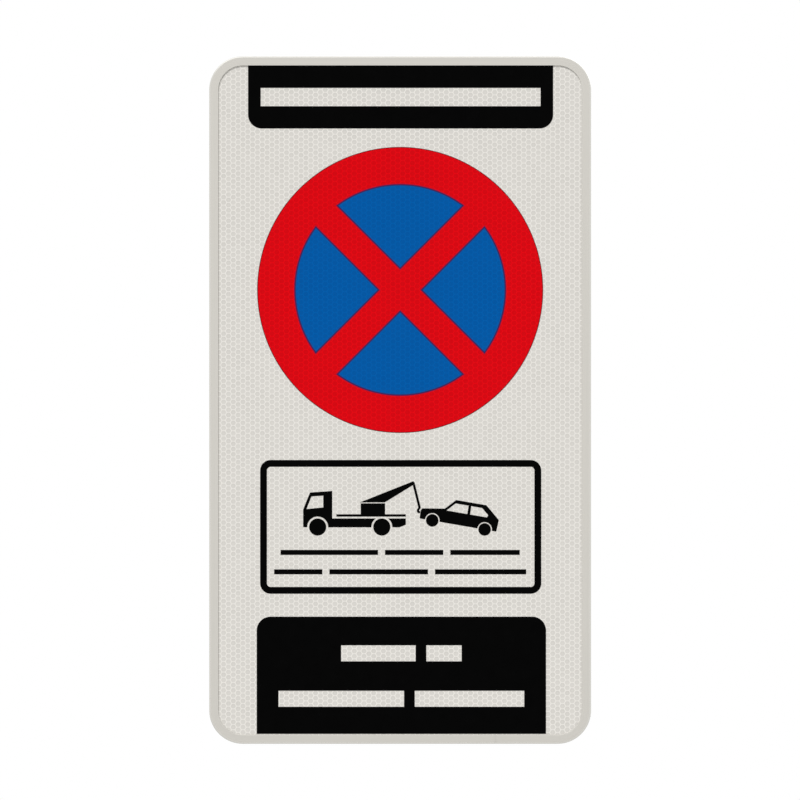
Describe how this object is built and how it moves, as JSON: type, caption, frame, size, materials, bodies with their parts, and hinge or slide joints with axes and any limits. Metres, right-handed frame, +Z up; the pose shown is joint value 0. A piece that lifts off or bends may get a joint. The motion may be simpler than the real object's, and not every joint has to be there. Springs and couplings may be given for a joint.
{
  "type": "no parking sign",
  "caption": "Upright no parking sign: aluminium plate with white honeycomb film, red and blue roundel, tow-away panel and black panels, in a raised bent edge profile.",
  "frame": {"origin": "centre of the rear plane of the edge profile, on which the post clamps bear", "axes": "+X to the viewer's right, +Y out of the back towards the post, +Z up; the face looks along -Y"},
  "size_m": [0.5, 0.018, 0.9],
  "materials": {
    "plate": "mill finish",
    "profile": "satin anodised",
    "zinc_steel": "zinc plated",
    "film_white": "retroreflective film with a honeycomb seal pattern",
    "film_red": "translucent colour film, gloss",
    "film_blue": "translucent colour film, gloss",
    "film_black": "opaque colour film, gloss"
  },
  "bodies": {
    "root": {"backing_plate": "plate", "edge_profile": "profile", "joint_splice": "plate", "splice_screw_left": "zinc_steel", "splice_screw_right": "zinc_steel", "face_film": "film_white", "heading_panel": "film_black", "roundel_ring_and_cross": "film_red", "roundel_field_top": "film_blue", "roundel_field_right": "film_blue", "roundel_field_bottom": "film_blue", "roundel_field_left": "film_blue", "tow_panel_border": "film_black", "truck_cab_and_chassis": "film_black", "truck_chassis_tail": "film_black", "truck_front_wheel": "film_black", "truck_rear_wheel": "film_black", "truck_bed_and_winch": "film_black", "crane_jib": "film_black", "towed_car_body": "film_black", "towed_car_front_wheel": "film_black", "towed_car_rear_wheel": "film_black", "caption_line_1": "film_black", "caption_line_2": "film_black", "notice_panel": "film_black"}
  },
  "joints": []
}
